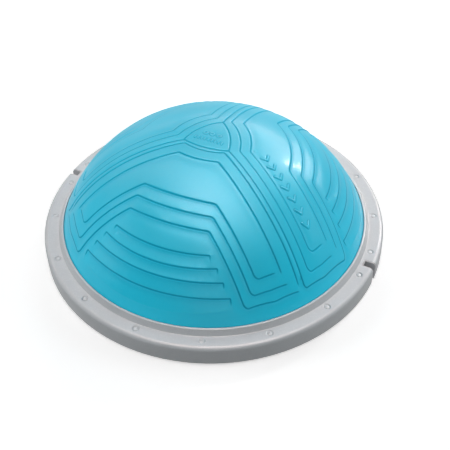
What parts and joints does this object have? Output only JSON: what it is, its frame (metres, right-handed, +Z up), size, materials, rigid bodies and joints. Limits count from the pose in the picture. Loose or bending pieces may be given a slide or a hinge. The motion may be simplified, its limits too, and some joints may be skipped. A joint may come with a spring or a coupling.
{
  "type": "balance dome trainer",
  "caption": "Air-filled rubbery half ball with grip relief, held by a screwed rim ring on a rigid round platform with band anchor slots and a plugged air valve underneath.",
  "frame": {"origin": "centre of the base on the floor plane, under the foot pads", "axes": "+Z up through the crown of the dome; the two band slots lie on the X axis; one arm of the relief points to +Y"},
  "size_m": [0.5998, 0.5998, 0.2196],
  "materials": {
    "ring_plastic": "fine satin texture",
    "dome_vinyl": "satin soft vinyl with moulded relief",
    "floor_vinyl": "satin soft vinyl sheet",
    "platform_plastic": "matte moulded",
    "screw_steel": "zinc plated",
    "cap_plastic": "gloss",
    "bracket_steel": "satin light grey paint",
    "pin_steel": "drawn bar",
    "foot_rubber": "matte",
    "valve_vinyl": "satin soft vinyl",
    "plug_rubber": "satin"
  },
  "bodies": {
    "base": {"base_platform": "platform_plastic", "clamp_ring": "ring_plastic", "bladder_floor": "floor_vinyl", "ring_screws": "screw_steel", "screw_caps": "cap_plastic", "band_bracket_right": "bracket_steel", "band_bracket_left": "bracket_steel", "band_pin_right": "pin_steel", "band_pin_left": "pin_steel", "valve_seat": "valve_vinyl", "foot_pad_1": "foot_rubber", "foot_pad_2": "foot_rubber", "foot_pad_3": "foot_rubber", "foot_pad_4": "foot_rubber", "foot_pad_5": "foot_rubber", "foot_pad_6": "foot_rubber", "foot_pad_7": "foot_rubber", "foot_pad_8": "foot_rubber"},
    "dome": {"dome_skin": "dome_vinyl"},
    "plug": {"valve_plug": "plug_rubber"}
  },
  "joints": [
    {"name": "dome_press", "type": "slide", "parent": "base", "child": "dome", "axis": [0, 0, 1], "range_m": [-0.03, 0], "stiffness_N_per_m": 22000, "springref_m": 0.002, "deforming": ["dome_skin"]},
    {"name": "plug_pull", "type": "slide", "parent": "base", "child": "plug", "axis": [0, 0, -1], "range_m": [0, 0.03]}
  ]
}
